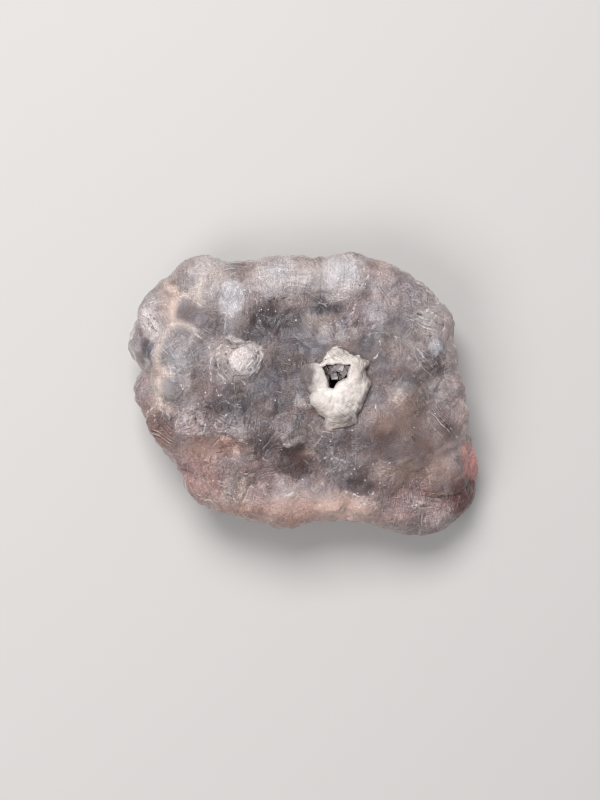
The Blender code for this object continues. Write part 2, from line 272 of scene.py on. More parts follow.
# Growth zones of the crystal side: middle, half width and half height in mm from the plate's
# middle, and how strongly each shows.
ZONES = {
    "haze": [  # milky, white where the lumps grew last
        (8.6, 25, 6.4, 5, 0.6), (-4.5, 24.8, 9, 4.6, 0.78), (-15, 20.6, 4.2, 5, 0.48),
        (-7, 21.4, 5, 2, 0.5), (-21, 24.6, 8, 6.4, 0.5), (-30.6, 17.6, 5, 5.4, 0.6), (28, 15, 7, 8, 0.36),
        (-25.6, 8.4, 7.6, 7, 0.48), (-35.8, 10.4, 2, 4.6, 0.5), (19, 14, 9, 8, 0.24), (31.5, 3, 3, 6, 0.3),
        (27, -24, 8, 3.6, 0.3), (-19, -19, 6, 5, 0.3), (9, -24, 9, 3.4, 0.75), (36, -14, 2.4, 5, 0.34),
        (33.6, -5, 2.6, 6, 0.3), (-30, 1, 4.4, 4.6, 0.35), (6, -7.4, 3.2, 1.4, 0.2), (18, 21, 6, 4, 0.36),
        (17.6, 25, 3.6, 3, 0.5), (-4, -23.4, 11, 4.4, 0.45), (29.6, -14, 4.4, 5, 0.25),
        (-17, 5, 5, 5, 0.42), (-12.2, 7.6, 3.6, 3.6, 0.4), (2, 24, 4, 4, 0.4), (-24, 1.6, 3, 4, 0.15),
        (-12, -6.6, 8, 4, 0.08),
    ],
    "depth": [  # clear and dark where the eye sees deep into the crystal, and painted shade in the troughs below the lumps
        (-5.6, 16, 8, 3.6, 1.2), (-9.4, 14, 5.4, 4, 0.9), (4.6, 18.4, 5.4, 1.6, 0.9),
        (-0.6, 9.8, 6, 4.6, 0.4), (14.8, 11.4, 4.4, 4.4, 0.55), (-4.6, 7, 5, 4.4, 0.8),
        (-14.6, 0.2, 4.6, 2.6, 0.6), (-17.4, -2.2, 4.4, 2.8, 0.8), (-1.9, -14, 4, 3.6, 1.7),
        (12.6, -18, 5, 3.6, 0.3), (30.6, -7.6, 2.6, 2.4, 0.7), (34.4, -22, 5, 5.6, 0.6),
        (-20.6, 15.4, 4.2, 3, 0.5), (10, -10.2, 8, 3.4, 0.6), (-33.3, 9.8, 1.3, 2.4, 0.6),
        (-11.6, -3.4, 4.6, 2.4, 0.5), (-6.6, -1, 6, 6, 0.6), (2, -8, 5, 4, 0.5), (19.6, -10.6, 9, 5.6, 0.6),
        (-30.8, -6.2, 3, 3.4, 0.3), (4.4, -8.8, 4, 1.8, 0.5), (20, 3, 6, 4, 0.3), (-8, -10.4, 5, 3.4, 0.7),
        (26, -3, 4, 4, 0.3), (-21.6, 3.6, 3.4, 5, 0.3), (-35.4, 10, 2, 4, 0.2), (3, -13, 4, 5, 0.5),
        (-24, -10.2, 5.6, 2, 0.4), (28.4, 7, 2.4, 4.4, 0.5), (-13.6, -16, 4, 2, 0.3),
    ],
    "cream": [  # yellowish veils
        (-18.6, 27, 1.8, 3, 0.6), (1.2, 27.2, 3.4, 2.2, 0.6), (-30.6, 1, 1.9, 4, 0.8),
        (20.6, -16.4, 7.4, 2.6, 0.6), (20, -0.8, 2.4, 2.6, 0.8), (26.6, 0, 2, 4, 0.4),
        (-20, -11.6, 6.4, 2.6, 0.5), (-13.2, -21.6, 1.8, 5, 0.6), (2.6, 15.6, 3, 1.6, 0.7),
        (26, -8, 7, 7, 0.2), (9, 21.4, 3.4, 2, 0.5), (1.4, -9.8, 2.6, 3.6, 0.5), (3, -24.6, 9, 3, 0.5),
        (25, 17, 4, 4, 0.4), (20, -5, 6, 2.4, 0.4), (-16.6, -23.6, 3.6, 2.4, 0.6),
        (-4.8, 19, 1.6, 1.8, 0.6), (-14, -16, 2.6, 2, 0.4), (-28, 20.6, 2.4, 4, 0.3),
        (-17.4, 9.4, 2.4, 1.8, 0.7),
    ],
    "mauve": [  # rosy lilac
        (-22, -18, 5.6, 6.6, 1), (-34, 0.8, 2.6, 4.2, 0.9), (25, -23.6, 11, 4.4, 0.9),
        (33, -2, 2.4, 12, 0.5), (-2, -22, 12, 6, 0.6), (-6, 16, 6, 3, 0.6), (-24, -5.6, 5, 4, 0.8),
        (-14, -12, 7, 6, 0.4), (12, 17.4, 6, 4.4, 0.8), (-21, 14, 4, 4, 0.5), (18, 22, 8, 6, 0.5),
        (-19.6, -1, 4, 5, 0.8), (20, -21, 6, 3, 0.5), (-1.8, -14.2, 4.6, 3.6, 0.9), (34, -20, 5, 6, 0.6),
        (-32.6, 13.4, 4, 5, 0.5), (-10.6, 23, 4, 4, 0.6), (-22, 4, 4, 5, 0.5),
    ],
    "blush": [  # warm, pinkish
        (0, -25, 26, 4, 0.8), (9, -24, 7, 4, 0.8), (-31, -8, 4, 5, 1), (-23, -16, 8, 8, 0.8),
        (26, -18, 10, 6, 0.6), (-1.8, -14.2, 5, 4, 0.7), (34.4, -22, 4.6, 5, 1.2), (21, -8, 10, 7, 0.55),
        (-20, -10.6, 9, 3, 0.7), (31.6, 8, 2, 14, 0.2), (-28.6, 20, 2.6, 5, 0.4),
        (16.4, 26.4, 3.4, 2.4, 0.3), (34, -4, 2, 7, 0.4), (-31, 4.6, 3, 2, 0.3), (-13, -19, 14, 6, 0.3),
    ],
    "blue": [  # cool, where the crystal is bluest
        (0, 20, 18, 8, 0.3), (14.4, 16.4, 5, 4.6, 0.5), (24, 17, 7, 5, 0.25), (-15.6, 20.4, 3.6, 4.6, 0.8),
        (8, 25.4, 4.6, 4.6, 0.6), (28, 9.6, 1.7, 2.6, 1.2), (-25.6, 8.4, 4.6, 4.6, 0.6),
        (2, 11, 4.6, 3.4, 0.7), (-5, 27, 3.4, 2.4, 0.6), (-28, 1.8, 2, 2.4, 0.8),
        (-33.3, 9.8, 1.5, 2.6, 0.8), (-9, 3.6, 4, 4, 0.5), (-3, 2, 6, 6, 0.4), (17, 2.6, 4, 4, 0.4),
        (-14.6, -6, 3, 3, 0.5), (8, 14, 2.4, 4, 0.5), (7.6, -11.6, 4, 4, 0.4),
    ],
    "blocky": [  # crystals that stand out as blocks
        (-22, -8, 12, 9, 1), (-8, -9, 9, 9, 0.9), (4, -13, 8, 6, 0.7), (-12, -19, 12, 5, 0.9),
        (12, 15, 6, 4, 0.6), (27, 6, 5, 6, 0.5), (27, -23, 8, 4, 0.5), (-1, -3, 6, 4, 0.6),
    ],
    "calm": [  # smooth, with hardly a line
        (21, -9, 11, 7, 1), (-5, 14.4, 8, 4, 0.6), (2, 10.4, 6, 3.4, 0.7), (-24.6, 16.6, 5, 3, 0.8),
        (4.6, 25, 6, 4, 0.4), (12.6, 10, 4, 3.4, 0.8), (-28, 1.8, 2.4, 2.6, 0.8), (20, 4, 6, 4, 0.6),
        (29.6, -14, 4, 5, 0.7), (2, -23.6, 9, 4, 0.5), (12.6, -18, 5, 3, 0.5), (-24, -10.6, 6, 2, 0.7),
        (-2, -13.6, 3, 3, 0.6), (-34.2, 8, 1.4, 4, 0.6),
    ],
}

# Crystal faces whose shape shows: how soft the outline is in mm, how milky the face is against
# what is round it, and its corners in mm from the plate's middle.
FACES = [
    (1.4, -0.12, [(-28.6, 24), (-26.4, 26.2), (-23.2, 25.6), (-22.6, 23.2), (-25.6, 22.2)]),
    (1.2, 0.3, [(-22.4, 28.8), (-19.6, 29.4), (-19.2, 26), (-22, 25.6)]),
    (0.8, -0.08, [(-27.6, 18.6), (-24.4, 19.4), (-21.6, 18.4), (-22, 15.8), (-27, 15.8)]),
    (0.7, -0.1, [(-22.8, 17.8), (-21.6, 18), (-22, 16.4), (-23.2, 16.4)]),
    (0.6, 0.4, [(-34.8, 18.2), (-32.8, 18.4), (-30, 14.2), (-31.8, 11.2), (-33.8, 12.4), (-34.8, 15.6)]),
    (0.7, -0.1, [(-36.8, 12.4), (-35.2, 14.8), (-33.8, 11.8), (-33.8, 6.2), (-35.2, 6.4), (-37.2, 9.6)]),
    (0.5, -0.3, [(-34, 11), (-33, 11.8), (-32.4, 9.4), (-32.8, 7.6), (-33.8, 8)]),
    (0.9, -0.1, [(-30.2, 8.4), (-29.4, 12), (-27, 13.8), (-23.4, 13.2), (-20.4, 10.6), (-20.4, 6.4),
     (-22.4, 3.4), (-26, 2.8), (-29.6, 4.8)]),
    (0.9, 0.3, [(-30.4, 5.6), (-28.6, 6.6), (-27, 5.6), (-28, 4.4), (-30, 4.4)]),
    (0.8, 0.14, [(-27.8, 8.4), (-24.2, 8.6), (-23.6, 6), (-26.6, 5.4)]),
    (0.6, 0.22, [(-26.4, 3.6), (-24.4, 5.2), (-23.8, 2), (-25, 0.6), (-26.8, 2.2)]),
    (0.6, -0.06, [(-29.8, 2.6), (-27.6, 3.6), (-26, 1.6), (-26.6, -0.8), (-29.4, -0.8)]),
    (0.5, 0.1, [(-36, 2.6), (-33.6, 4.2), (-32, 2.4), (-32.2, 0.6), (-35.2, 0.4)]),
    (0.6, 0.14, [(-20, 9), (-17, 10.9), (-14, 10.3), (-10.6, 11.5), (-8.8, 9.2), (-9.6, 4.4), (-12.4, 2.4),
     (-18.2, 0.8), (-19.9, 4.4)]),
    (0.7, -0.12, [(-19.4, 7.8), (-16.4, 7.4), (-15.4, 5), (-12.2, 3.2), (-15.2, 1.6), (-18.6, 1.4),
     (-19.6, 4.4)]),
    (0.35, 0.72, [(-15, 9.2), (-13.5, 10.1), (-10.7, 11.3), (-8.8, 10.2), (-8.6, 7.2), (-9.9, 5.1),
     (-11.8, 4.4), (-13.5, 4.6), (-15, 5.8), (-15.7, 7.5)]),
    (0.6, 0.4, [(-15, 8.2), (-12.2, 7.8), (-11.2, 5.2), (-13.4, 5), (-14.8, 6.2)]),
    (0.5, 0.55, [(-16.8, 11.9), (-15.6, 13), (-14.2, 12.2), (-12.4, 11.2), (-14.6, 10.9)]),
    (0.8, 0.42, [(-18, 21), (-17.2, 24), (-14.6, 24.6), (-12.4, 22.6), (-12.8, 18.4), (-15.6, 16.4),
     (-17.6, 17.8)]), (1, -0.1, [(-17, 27.6), (-10.4, 27.8), (-11, 25.2), (-17.4, 25)]),
    (0.8, 0.2, [(-16.2, 15.6), (-13.6, 15.4), (-14, 13.2), (-15.8, 12.8)]),
    (0.8, 0.1, [(-6.4, 29), (-2.4, 29.2), (-1.6, 26.6), (-6.2, 26.2)]),
    (0.7, 0.32, [(4, 28.8), (8.4, 29.9), (12.2, 29.4), (13.8, 27.4), (13.6, 24.8), (12.2, 22.6),
     (9.6, 20.6), (5, 19.8), (4, 22.4)]),
    # Painted shade: the dark strip under the overhanging lump above it.
    (0.7, -0.5, [(4.6, 18.2), (7.2, 19.4), (9.2, 19.3), (8.4, 18.3), (5, 16.8)]),
    (1.3, 0.5, [(3, 14.4), (4.8, 15.2), (5.9, 13.8), (5.2, 12.6), (3.4, 12.9)]),
    (0.6, 0.25, [(2.4, 13.2), (5.6, 13), (6, 11), (3.4, 10.6)]),
    (0.4, -0.4, [(6.1, 14.2), (6.6, 14.2), (6.7, 11.2), (6.2, 11)]),
    (0.4, 0.28, [(6.7, 16.8), (7.6, 15.6), (8.9, 12.2), (8.9, 11.4), (7, 11.4), (6.7, 14)]),
    (0.4, -0.35, [(7.2, 17.9), (8.6, 17.6), (9.2, 14), (8.4, 14.2)]),
    (0.4, -0.35, [(9.8, 14.6), (11.4, 16.2), (11.6, 14.5)]),
    (0.5, 0.15, [(9.4, 14.8), (11.6, 18.2), (10.4, 18.8), (9, 17.2)]),
    (0.5, 0.2, [(13, 17.8), (15.6, 18.8), (17.1, 16.2), (17.1, 14.2), (15.2, 15.2), (13.6, 16.2)]),
    (0.9, 0.2, [(14.2, 24.8), (15.4, 24.4), (16.4, 19.4), (15.4, 18.8), (14.6, 21.4)]),
    (0.9, -0.25, [(11.4, 11.6), (13, 12.8), (14.8, 11.6), (14.4, 9.2), (12, 9)]),
    (0.5, 0.35, [(26.4, 10.6), (28.6, 12.2), (29.2, 9.6), (28.2, 8.2), (26.8, 9.2)]),
    (0.4, -0.6, [(27.7, 7.6), (28.6, 8.4), (29.2, 6.6), (28.9, 5), (27.9, 5.8)]),
    (0.4, -0.45, [(25.4, 9), (26.8, 9.4), (27.2, 8), (26.2, 7.6)]),
    (0.4, 0.3, [(23.9, 9.8), (24.8, 9.4), (27, 6.6), (26.2, 6.8)]),
    (0.4, -0.35, [(24.8, 7.4), (25.6, 7.2), (27, 5), (26.4, 4.8)]),
    (0.4, 0.3, [(24.6, 6.6), (25.4, 6.4), (28, 3.6), (27.2, 3.6)]),
    (0.7, 0.5, [(18.8, -1.2), (20, 1.4), (21.2, 1.2), (21.6, -0.8), (20.2, -2.2)]),
    (0.3, 0.2, [(-27.8, -6.6), (-26.6, -3.9), (-25.2, -2.6), (-23.4, -2.8), (-21.6, -4), (-20.9, -6),
     (-21, -8.1), (-25.4, -8.4), (-27.4, -7.9)]),
    (0.5, 0.12, [(-27.6, -7.4), (-26.8, -4.4), (-25.8, -4.6), (-25.8, -8.2)]),
    (0.6, -0.2, [(-32.8, -5.2), (-31, -3.4), (-29, -4.4), (-28.6, -7.4), (-30.6, -8.6), (-32.6, -7.4)]),
    (0.4, 0.2, [(-19, -6.2), (-17.4, -4.5), (-15, -3.2), (-13.2, -2.9), (-12.8, -4.2), (-12.3, -9.2),
     (-13.4, -9.4), (-15.8, -8.4), (-18.4, -7.8)]),
    (0.4, 0.12, [(-14.2, -3.6), (-13, -3.2), (-12.6, -8.6), (-14.4, -8.2)]),
    (0.5, 0.03, [(-12.2, -4.4), (-10, -5), (-8.2, -7), (-9, -9.4), (-11.8, -9.4)]),
    (0.6, -0.12, [(-19.8, 2.6), (-16.8, 2.2), (-12.2, 1.6), (-10.6, -1), (-13.6, -2.3), (-16.4, -1.6),
     (-18.4, 0.6)]), (0.6, 0.14, [(-8.4, -1), (-6.4, -0.4), (-6.2, -3.4), (-8, -3.8)]),
    (0.35, 0.6, [(-1.2, 0.7), (-2.3, -2.4), (0.5, -2.5), (0.3, -1.2)]),
    (0.5, 0.1, [(-4.6, -3.4), (-1, -2.9), (1.6, -4.6), (-0.6, -8.4), (-3.8, -7.4)]),
    (0.5, 0.3, [(-4.8, -11), (-4.2, -10.2), (-1.6, -9.2), (0.4, -8), (0.2, -9.8), (-2, -10.7)]),
    (0.5, -0.5, [(-4.8, -12.2), (-2, -11.8), (0.1, -12.8), (0, -14.8), (-2.4, -17), (-4.4, -15)]),
    (0.4, 0.4, [(-15.4, -11), (-14, -10.8), (-13.5, -12.4), (-15.2, -12.8)]),
    (0.4, 0.22, [(-12.4, -11.2), (-10.6, -11), (-10.4, -13), (-11.6, -13.2)]),
    (0.4, 0.2, [(-18.4, -14.2), (-17, -13.8), (-16.6, -15.4), (-18, -15.6)]),
    (0.4, 0.2, [(-15.8, -13.4), (-14.4, -13), (-14.6, -14.6)]),
    (0.8, -0.1, [(-20, -16.6), (-17.6, -16.6), (-16.8, -20), (-18.4, -22), (-20, -20.6)]),
    (0.5, 0.14, [(-17, -18.2), (-15.6, -18), (-14.2, -20.8), (-15.6, -21.2)]),
    (0.5, 0.28, [(-6.6, -16.6), (-3, -17), (-1, -19), (-2, -20.8), (-3.4, -22), (-5.8, -19.4)]),
    (0.6, -0.1, [(-12, -19.8), (-7, -19.6), (-6.8, -24.6), (-11, -25.2)]),
    (0.3, 0.6, [(4.7, -6.3), (5.6, -6.8), (6.4, -7.5), (5.5, -7.7), (4.7, -7.2)]),
    (0.9, 0.14, [(15.6, -7.4), (16.6, -5.6), (19.4, -5.8), (19.6, -7.4), (17.6, -8.4)]),
    (0.4, 0.32, [(4.4, -13.4), (5, -10.6), (6.4, -11), (6.4, -12.4), (5.2, -13.7)]),
    (0.5, 0.12, [(4.4, -13.8), (8.4, -12.8), (9.4, -16), (4.8, -15.8)]),
    (0.35, -0.75, [(8.8, -18.4), (10.2, -16.2), (12.6, -14.8), (15.6, -15.8), (16, -17.8), (15, -19.4),
     (14, -21.2), (12, -21.4), (9.4, -20)]),
    (0.6, 0.14, [(29.8, -19.2), (31, -19), (31.4, -25.8), (30.2, -25)]),
    (0.5, 0.35, [(23, -23.7), (25.4, -22.2), (26.8, -22.7), (25.6, -23.7)]),
    (0.5, 0.35, [(24.2, -23.9), (26.4, -24.1), (25.8, -24.9)]),
    (0.8, 0.25, [(28.4, 0.4), (30.2, 0.6), (31.2, -0.4), (29.6, -1.2)]),
    (0.6, 0.4, [(33, -0.8), (34.2, -0.9), (34, -2.4), (33.2, -2.4)]),
    (0.5, 0.5, [(33.9, -6.4), (35.2, -6.2), (36, -8.8), (34.4, -8.2)]),
    (0.4, -0.35, [(31.6, -19.6), (32.8, -18.4), (34.6, -17.9), (39, -18.6), (39, -24), (34.6, -27.6),
     (32.4, -27), (32, -23)]),
]
ROSE_FACE = [(33.9, -9.7), (36.4, -10.6), (38.4, -14), (38.4, -18.6), (36.2, -18.6), (34.4, -17.8),
    (33.4, -14)]

# Fine lines, as corner points: pale edges and frost threads, dark cracks, and yellowish seams
# between the lumps.
PALE_LINES = [
    [(-19.2, 24.6), (-19.6, 21.4), (-19.9, 18.7)], [(-22, 23.6), (-22.6, 21.4), (-21.8, 19.2)],
    [(-33.6, 17.6), (-31, 15), (-30.4, 13.8)], [(-33.8, 16.6), (-31.6, 14.2)], [(-34.4, 16), (-32.2, 13.2)],
    [(-36, 13.8), (-37, 11), (-35.6, 7.2)], [(-28.2, 3.6), (-26.6, 2.2), (-25, 0.7), (-24, 2.2)],
    [(-20.2, 10.6), (-19.6, 9), (-20, 6.4), (-19.4, 2.6), (-18.2, 0.9)],
    [(-19.8, 9), (-17, 10.8), (-15.6, 10.4)], [(-13.8, 10.4), (-11.6, 11.4), (-9.6, 11), (-8.5, 10.4)],
    [(-15, 9.2), (-15.7, 7.5), (-15, 5.8)], [(-18.6, 8.4), (-16.8, 9.2), (-15.4, 9)],
    [(-19, 7), (-18, 7.8), (-16.6, 7.6)], [(-17.6, 3.6), (-15.6, 3.2)],
    [(-9.1, 9.6), (-8.8, 7.6), (-9.6, 5.2), (-11, 3.9)],
    [(-9.9, 8.6), (-9.8, 6.8), (-10.6, 5.2), (-11.8, 4.3)], [(-10.6, 7.4), (-11.2, 5.8), (-12.2, 4.8)],
    [(-18.4, 6.6), (-17.4, 4.8)], [(-17.4, 7.2), (-16.6, 5.2)], [(-18.6, 5), (-17, 3.4), (-15.2, 2.4)],
    [(-14, 3.5), (-12.6, 2.5)], [(-17.8, 9.6), (-18.2, 8.2)],
    [(-18.2, 0.9), (-17, -1), (-15.6, -2.1), (-13.8, -2.2)], [(-12.6, 22.6), (-12.2, 19.6), (-11.9, 16.4)],
    [(-11.6, 22.8), (-10.6, 20)], [(-10.2, 21.6), (-9.7, 18.4), (-9.3, 15.8)], [(-9, 20.4), (-8.8, 18.4)],
    [(-1.4, 25.2), (-0.4, 26.2)], [(13.8, 25.6), (13, 24), (12.1, 22.4)],
    [(10.6, 21.8), (9, 20.5), (6.8, 19.8)], [(7.2, 17.2), (8.8, 14.2)],
    [(9.2, 14.4), (10.4, 15.8), (11.4, 17.4)], [(10, 16.8), (11.2, 19.4)], [(7, 10.2), (8.5, 10.1)],
    [(6, 14), (6, 12.4)], [(16.3, 11.6), (16.4, 9.8), (15.4, 8.1), (14.2, 7.2)],
    [(23.8, 9.9), (25.2, 8.6), (26.8, 6.8)], [(24.4, 7.6), (26, 5.8), (27.2, 4.2)],
    [(19, 12.5), (19.8, 12)], [(24.2, 19.6), (26, 18.8)], [(24.6, 17.8), (26.2, 17.2)],
    [(24, 16.9), (25.8, 16)], [(26.4, 18), (28.4, 17)], [(27.6, -3.4), (30.8, -6.4), (33, -9.6)],
    [(27.4, -4.8), (29.2, -6.4)], [(-27.6, -7.2), (-26.5, -4.1), (-25.2, -2.7)],
    [(-25.4, -8.4), (-21.1, -8.2)], [(-20.9, -6), (-21, -8)], [(-18.9, -6.2), (-17.3, -4.5), (-15, -3.3)],
    [(-18.9, -6.6), (-16.8, -7.3)], [(-18.7, -7.5), (-15.8, -8.4), (-13.2, -9.5)],
    [(-33.6, -4.3), (-32, -2.5), (-30.4, -3), (-28.8, -4.2)], [(-31.8, -4.4), (-31.4, -5.4)],
    [(-28.6, -8.8), (-27.2, -8.9)], [(-28.5, -5.4), (-28.2, -4.3)],
    [(-4.9, -11), (-2.4, -9.6), (0.2, -8.2)], [(-12.6, -17.8), (-10.9, -16.9), (-9.4, -16.3)],
    [(-11.6, -18), (-10.2, -17.2)], [(-16.6, -20.2), (-15.6, -21.4)], [(-4.4, -21.8), (-2.2, -20.6)],
    [(4.6, -13.4), (6.4, -12.2)], [(4.8, -14.2), (7, -13.2)], [(9.8, -17.2), (11, -15.7), (12.4, -14.8)],
    [(12.6, -16.6), (13, -18.3)], [(14.4, -21.2), (15.2, -20.4)],
    [(8, -20.1), (11, -21.2), (14, -23), (15, -24.4)], [(6, -16.2), (8.4, -15.8)],
    [(18, -14.6), (20, -13.6)], [(22.8, -23.5), (25.4, -22.9)], [(29.8, -19.4), (30.4, -21.8)],
    [(30.8, -23), (31.4, -25.8)], [(24.4, 23.8), (27.4, 21.4), (29.6, 19.2)], [(3.4, -4.1), (2.6, -2.6)],
    [(15.2, -2.2), (15.1, -3.4)], [(12.4, -2.4), (13.2, -3.4)], [(-23.6, 12.8), (-21.6, 12), (-20.4, 11.2)],
]
DARK_LINES = [
    [(-9.6, 9.4), (-9.4, 7.6), (-10.2, 5.6)], [(-10.4, 8.4), (-10.8, 6.4), (-11.6, 5)],
    [(-16.4, 8.6), (-16.2, 6.6)], [(-17.8, 6.4), (-16.6, 4.6), (-14.8, 3.9)], [(-18.9, 8), (-18.6, 5.6)],
    [(-15.8, 10.2), (-13.8, 9.6)], [(-26.2, -4.6), (-24.6, -5.2), (-24.2, -7.6)],
    [(-23.2, -3.6), (-22.8, -6), (-21.4, -6.6)], [(-17.6, -5.6), (-16, -6.6), (-15.4, -7.8)],
    [(-15.2, -4.2), (-14.2, -6.4)], [(-32, -5.8), (-30.2, -6.6)],
    [(-16.3, 11.4), (-15, 10.8), (-13.6, 10.7)], [(-7.6, 20.1), (-6.2, 20.3), (-5.4, 20), (-3.6, 20.5)],
    [(23.6, 19.5), (26, 18.4)], [(26.8, 18.4), (28.4, 17.5)], [(24.2, 17.4), (25.2, 16.9)],
    [(28.2, 15.3), (29.6, 14.8)], [(27, 13), (27.1, 11.4)], [(27.8, -3.6), (29.4, -5.2), (31.4, -6.6)],
    [(28.6, -5.2), (30.4, -6.8)], [(30.2, -6.2), (32.2, -8.6)], [(-12.6, -3.4), (-12.5, -6.6)],
    [(-28.2, -4.2), (-28.2, -6)], [(-16.9, -4.8), (-15.6, -5.4)], [(-12.2, -17.2), (-10, -16.4)],
    [(6.4, 14), (6.5, 11.3)], [(25, 7), (26.6, 5)], [(-32.6, 17.2), (-30.8, 15.4)],
    [(-33, 15.6), (-31.4, 13.6)], [(-24, -6.4), (-22.6, -5.8)], [(24.2, -23.8), (26, -23.5)],
    [(-18, -8), (-14, -9.2)], [(-21.6, -2.2), (-19.6, -3)], [(13.6, -21.9), (14.6, -23)],
    [(10.2, 21.2), (10.8, 21.9)], [(20.3, 5), (20.5, 5)], [(-17.6, -2.6), (-16.4, -3.4)],
    [(30.6, -22), (31.2, -24.6)], [(22, -8.4), (23.6, -9.6)], [(21, -9.4), (22.4, -10.4)],
]
VEILS = [
    [(-23.4, 13.9), (-24.8, 14.9), (-27, 15.2), (-29, 14.1), (-30.5, 11.6), (-31.2, 8.6), (-31.1, 6.2),
     (-30, 4.7), (-28, 4.2)],
    [(-29.2, 23.6), (-27.6, 22.3), (-26.4, 20.9), (-24.4, 21.2), (-22.8, 22.4), (-21.9, 24.2)],
    [(-22.5, 22.4), (-22.6, 21), (-21.8, 19.4)], [(-27, 20.6), (-27.9, 18.5), (-28, 15.8)],
    [(-30.6, 3.4), (-31, 1), (-30.4, -1.2)], [(-13, -18.8), (-13.3, -21)], [(-30.6, -1.6), (-28.6, -3)],
]

# Fine growth stripes: middle, half width, half height, the way they run in degrees or the
# middle that they ring, and how plain they are.
STRIPES = [
    (-32.4, 15, 3.4, 4, -50, 1), (26, 16.6, 5, 4.6, -24, 0.9), (29.4, -5.6, 4, 4.6, -48, 1),
    (-10.8, 20.2, 3.4, 4.6, -80, 0.8), (-14, 26.4, 4, 1.8, 2, 0.8), (20, -20.6, 5, 3.4, 88, 0.6),
    (26.4, -22.6, 4, 3.4, -14, 0.8), (30.8, -22.4, 1.8, 4.4, -80, 0.8), (25.8, 6.8, 2.6, 3.8, -50, 0.9),
    (-10.4, 6.2, 2.2, 4.4, (-14.6, 9), 0.8), (-13, 4, 3.4, 1.6, (-14, 9), 0.7),
    (-16.6, 4.4, 3, 3, -48, 0.9), (2, 21.8, 3, 3.4, 84, 0.7), (8.4, 25, 4.4, 4.4, 84, 0.4),
    (-16.4, -7.2, 3, 2.4, -22, 0.8), (-10.4, -7, 2.4, 3, 86, 0.6), (10.6, 16.4, 3.4, 3.4, 58, 0.9),
    (31.6, 1.6, 2.4, 5.4, -12, 0.6), (-30.2, -9, 3.4, 3.4, -34, 0.8), (-24.4, -5.6, 3.4, 3, 20, 0.5),
    (6.6, -13.4, 3.4, 3.4, 34, 0.7), (-10.8, -17.2, 2.6, 1.8, 28, 0.9), (-34.4, 1.8, 2.2, 2.6, 60, 0.7),
    (-25, 24.2, 3.4, 3, 84, 0.6), (17.6, 22, 4.4, 4, -60, 0.5), (-8, 12, 3.4, 3.4, 40, 0.5),
    (-16, -20, 2.6, 2.8, -56, 0.7), (35.6, -14, 2, 5, 80, 0.5), (1, -4.6, 4, 3, 16, 0.5),
    (18, -12.4, 4.4, 3.4, 30, 0.4), (-4, 12.4, 2.4, 4, 62, 0.6), (-20.8, -18.6, 3.6, 4.4, -70, 0.5),
    (22.6, -8.8, 3, 2.6, -46, 0.7), (-3, -8.6, 3, 3.4, 28, 0.7),
]


def warped(points, size, amount):
    """Places moved about by a smooth noise, so that what is drawn from them looks grown."""
    return points + amount * np.array([noise.noise_vector(Vector(p) / size) for p in points])


def from_chip(points, size):
    """How far each point is from the middle of the broken cube that it belongs to."""
    settings = {"distance_metric": "CHEBYCHEV", "exponent": 2.5}
    return np.array([noise.voronoi(Vector(p) / size, **settings)[0][0] for p in points])


def measured(points):
    """Where points at their own height lie in the lists."""
    return points[:, :2] * (LIST_DISTANCE / (CAMERA_HEIGHT - points[:, 2]))[:, None]


def zone(places, front, blobs):
    """How strongly a kind of growth shows at each place: it fades round the edge of an ellipse."""
    value = np.zeros(len(places))
    for x, y, half_width, half_height, amount in blobs:
        away = np.hypot((places[:, 0] - x) / half_width, (places[:, 1] - y) / half_height)
        value = np.maximum(value, amount * np.clip(1.45 - away, 0, 1) ** 1.3)
    return np.clip(value, 0, 1) * front


def line_distance(places, corners):
    """How far each place is from a line through the corners, seen from the front, in mm."""
    away = np.full(len(places), FAR)
    for a, b in zip(corners, corners[1:]):
        a, way = np.array(a), np.subtract(b, a)
        share = np.clip((places[:, :2] - a) @ way / (way @ way), 0, 1)
        away = np.minimum(away, np.linalg.norm(places[:, :2] - a - share[:, None] * way, axis=1))
    return away


def inside(places, corners, soft):
    """1 in the polygon and 0 outside, across an edge this wide in mm."""
    odd = np.zeros(len(places), dtype=bool)
    x, y = places[:, 0], places[:, 1]
    for (ax, ay), (bx, by) in zip(corners, corners[1:] + corners[:1]):
        if ay != by:
            odd ^= ((ay > y) != (by > y)) & (x < ax + (bx - ax) * (y - ay) / (by - ay))
    away = line_distance(places, corners + corners[:1])
    return np.clip(0.5 + np.where(odd, away, -away) / soft, 0, 1)


def keep_stripes(piece, places, front, stripes):
    """Stores how far across its stripes each point lies, and how plain they are there. Each group
    of stripes starts 40 mm further on, so that no two look alike."""
    across, striped = np.zeros(len(places)), np.zeros(len(places))
    for number, (x, y, half_width, half_height, way, plain) in enumerate(stripes):
        right, high = places[:, 0] - x, places[:, 1] - y
        share = plain * np.clip(2.4 - 2.2 * np.hypot(right / half_width, high / half_height), 0, 1)
        if isinstance(way, tuple):
            place = np.hypot(places[:, 0] - way[0], places[:, 1] - way[1])
        else:
            place = math.cos(math.radians(way)) * high - math.sin(math.radians(way)) * right
        across = np.where(share > striped, place + 40 * number, across)
        striped = np.maximum(share, striped)
    keep(piece, "across", across)
    keep(piece, "striped", striped * front)


noise.seed_set(NOISE_SEED)
fluorite = fine_copy("fluorite", "fluorite_mass", GRAIN, SOFTENING)
cube_mosaic(fluorite, random.Random(5))
points = read(fluorite, "co") / MM
normals = read(fluorite, "normal")
up = averaged(fluorite, normals[:, 2], 20)
front = np.clip(up * 2.5 + 0.4, 0, 1)  # the crystal side

